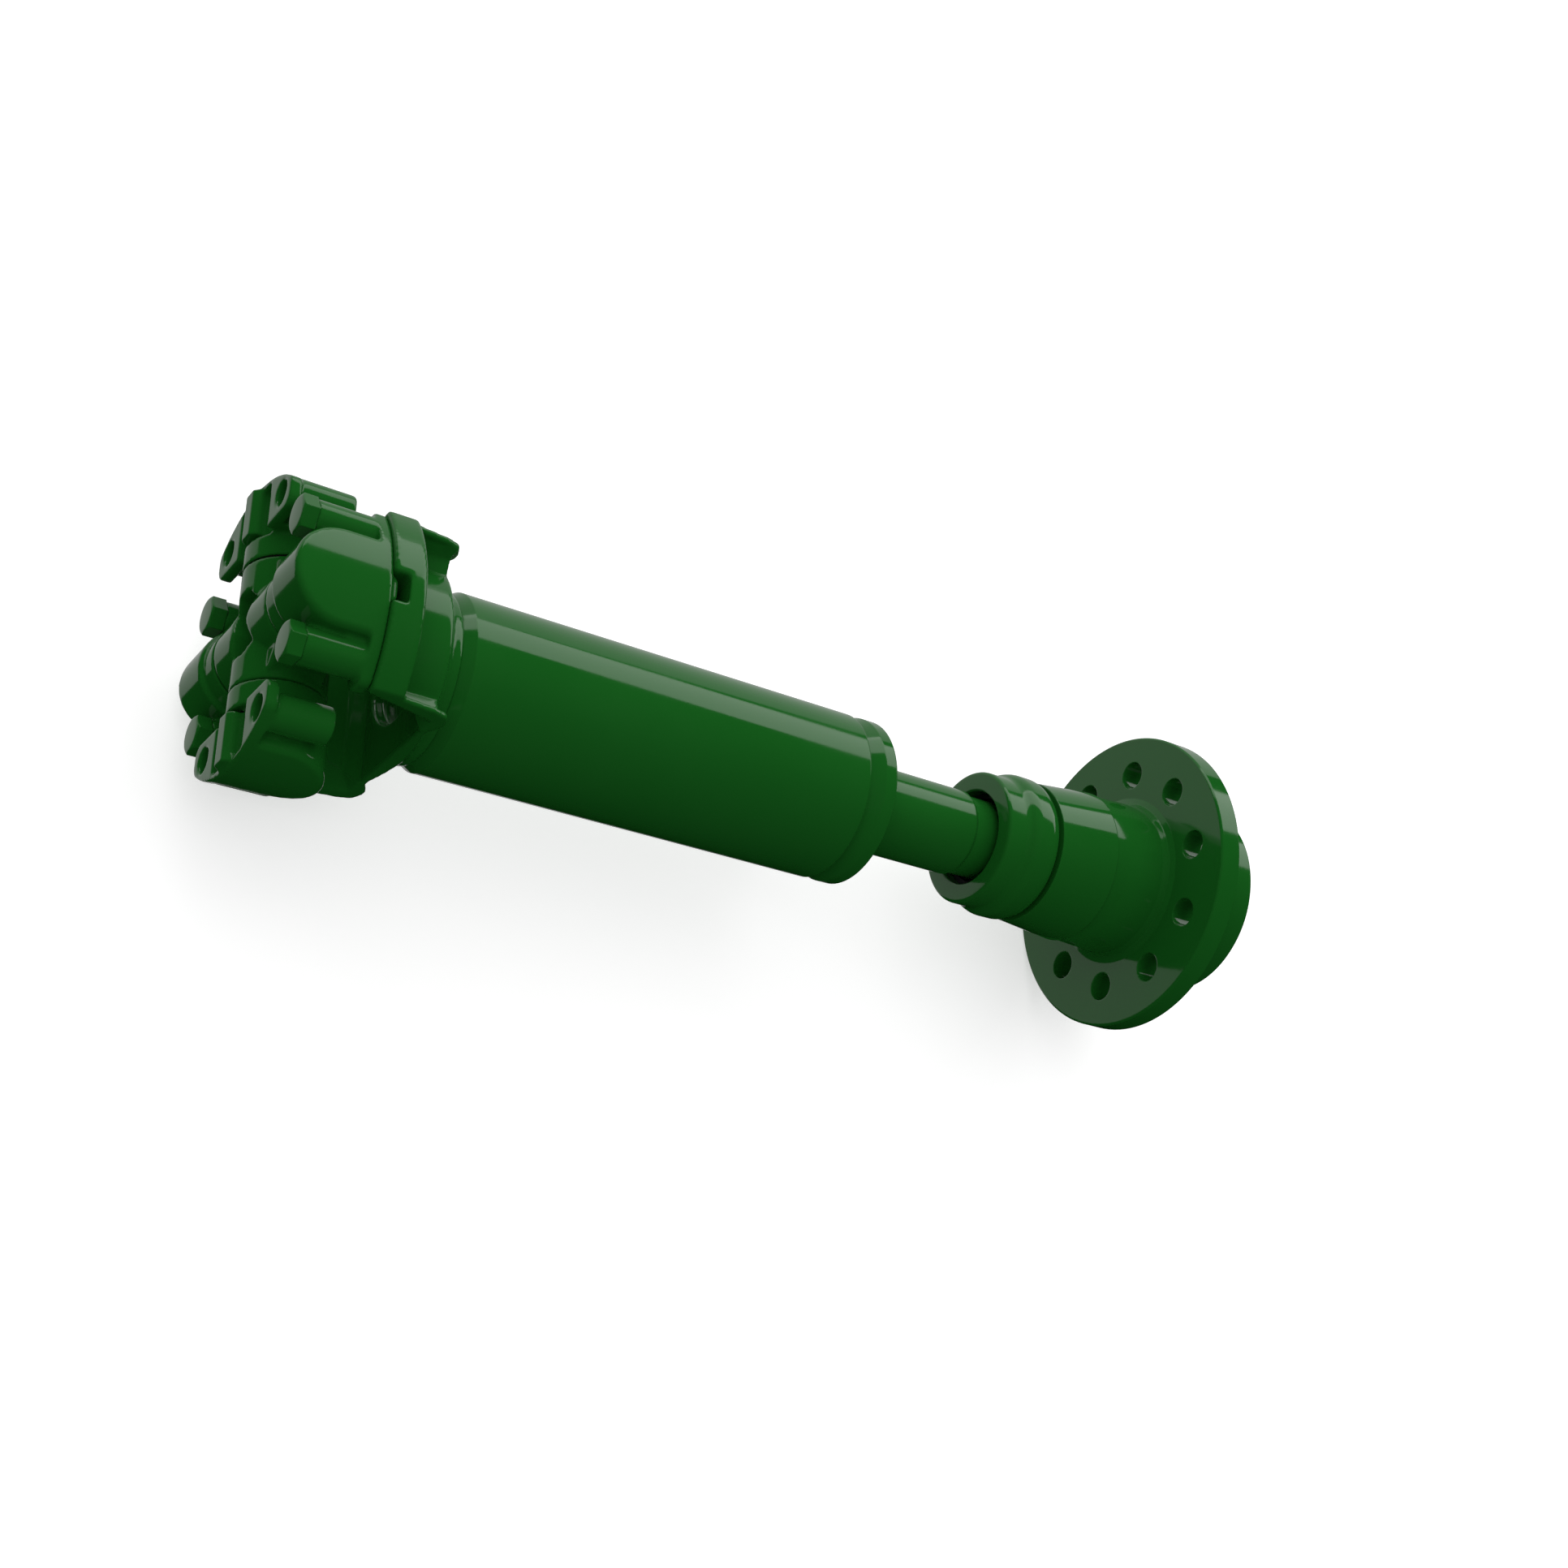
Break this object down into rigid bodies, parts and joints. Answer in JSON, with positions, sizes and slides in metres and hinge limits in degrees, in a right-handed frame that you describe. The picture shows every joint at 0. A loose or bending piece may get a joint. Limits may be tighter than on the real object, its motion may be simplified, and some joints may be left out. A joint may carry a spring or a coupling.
{
  "type": "drive shaft",
  "caption": "Tubular drive shaft with a universal joint on wing bearing caps at one end and a splined slip hub with a bolted flange at the other.",
  "frame": {"origin": "centre of the flange's mounting face, on the shaft's axis", "axes": "+X out of the flange along the shaft, away from the universal joint; Z along the trunnion whose two caps are bolted to the tube yoke; Y along the trunnion of the two free caps"},
  "size_m": [0.659, 0.1904, 0.1904],
  "materials": {
    "green_paint": "gloss green enamel over forged and turned steel",
    "bearing_steel": "ground bearing steel with a film of grease",
    "spline_steel": "machined steel, greased",
    "seal_rubber": "black nitrile rubber",
    "washer_plastic": "natural nylon"
  },
  "bodies": {
    "flange_end": {"slip_hub": "green_paint", "dust_cap": "green_paint", "wiper_seal": "seal_rubber", "end_plug": "green_paint"},
    "shaft": {"stub_shaft": "green_paint", "main_tube": "green_paint", "tube_yoke": "green_paint", "cap_bolts": "green_paint", "fixed_cap_top": "green_paint", "fixed_cap_bottom": "green_paint", "needles_top": "bearing_steel", "thrust_washer_top": "washer_plastic", "seal_top": "seal_rubber", "needles_bottom": "bearing_steel", "thrust_washer_bottom": "washer_plastic", "seal_bottom": "seal_rubber"},
    "joint_cross": {"cross": "green_paint"},
    "left_bearing": {"free_cap_left": "green_paint", "needles_left": "bearing_steel", "thrust_washer_left": "washer_plastic", "seal_left": "seal_rubber"},
    "right_bearing": {"free_cap_right": "green_paint", "needles_right": "bearing_steel", "thrust_washer_right": "washer_plastic", "seal_right": "seal_rubber"}
  },
  "joints": [
    {"name": "spline_slip", "type": "slide", "parent": "flange_end", "child": "shaft", "axis": [1, 0, 0], "range_m": [-0.04, 0.04]},
    {"name": "cross_swing", "type": "hinge", "parent": "shaft", "child": "joint_cross", "pos_m": [-0.58595, 0, 0], "axis": [0, 0, 1], "range_deg": [-20, 20]},
    {"name": "left_cap_swing", "type": "hinge", "parent": "joint_cross", "child": "left_bearing", "pos_m": [-0.58595, 0.0613, 0], "axis": [0, 1, 0], "range_deg": [-20, 20]},
    {"name": "right_cap_swing", "type": "hinge", "parent": "joint_cross", "child": "right_bearing", "pos_m": [-0.58595, -0.0613, 0], "axis": [0, 1, 0], "range_deg": [-20, 20]}
  ]
}
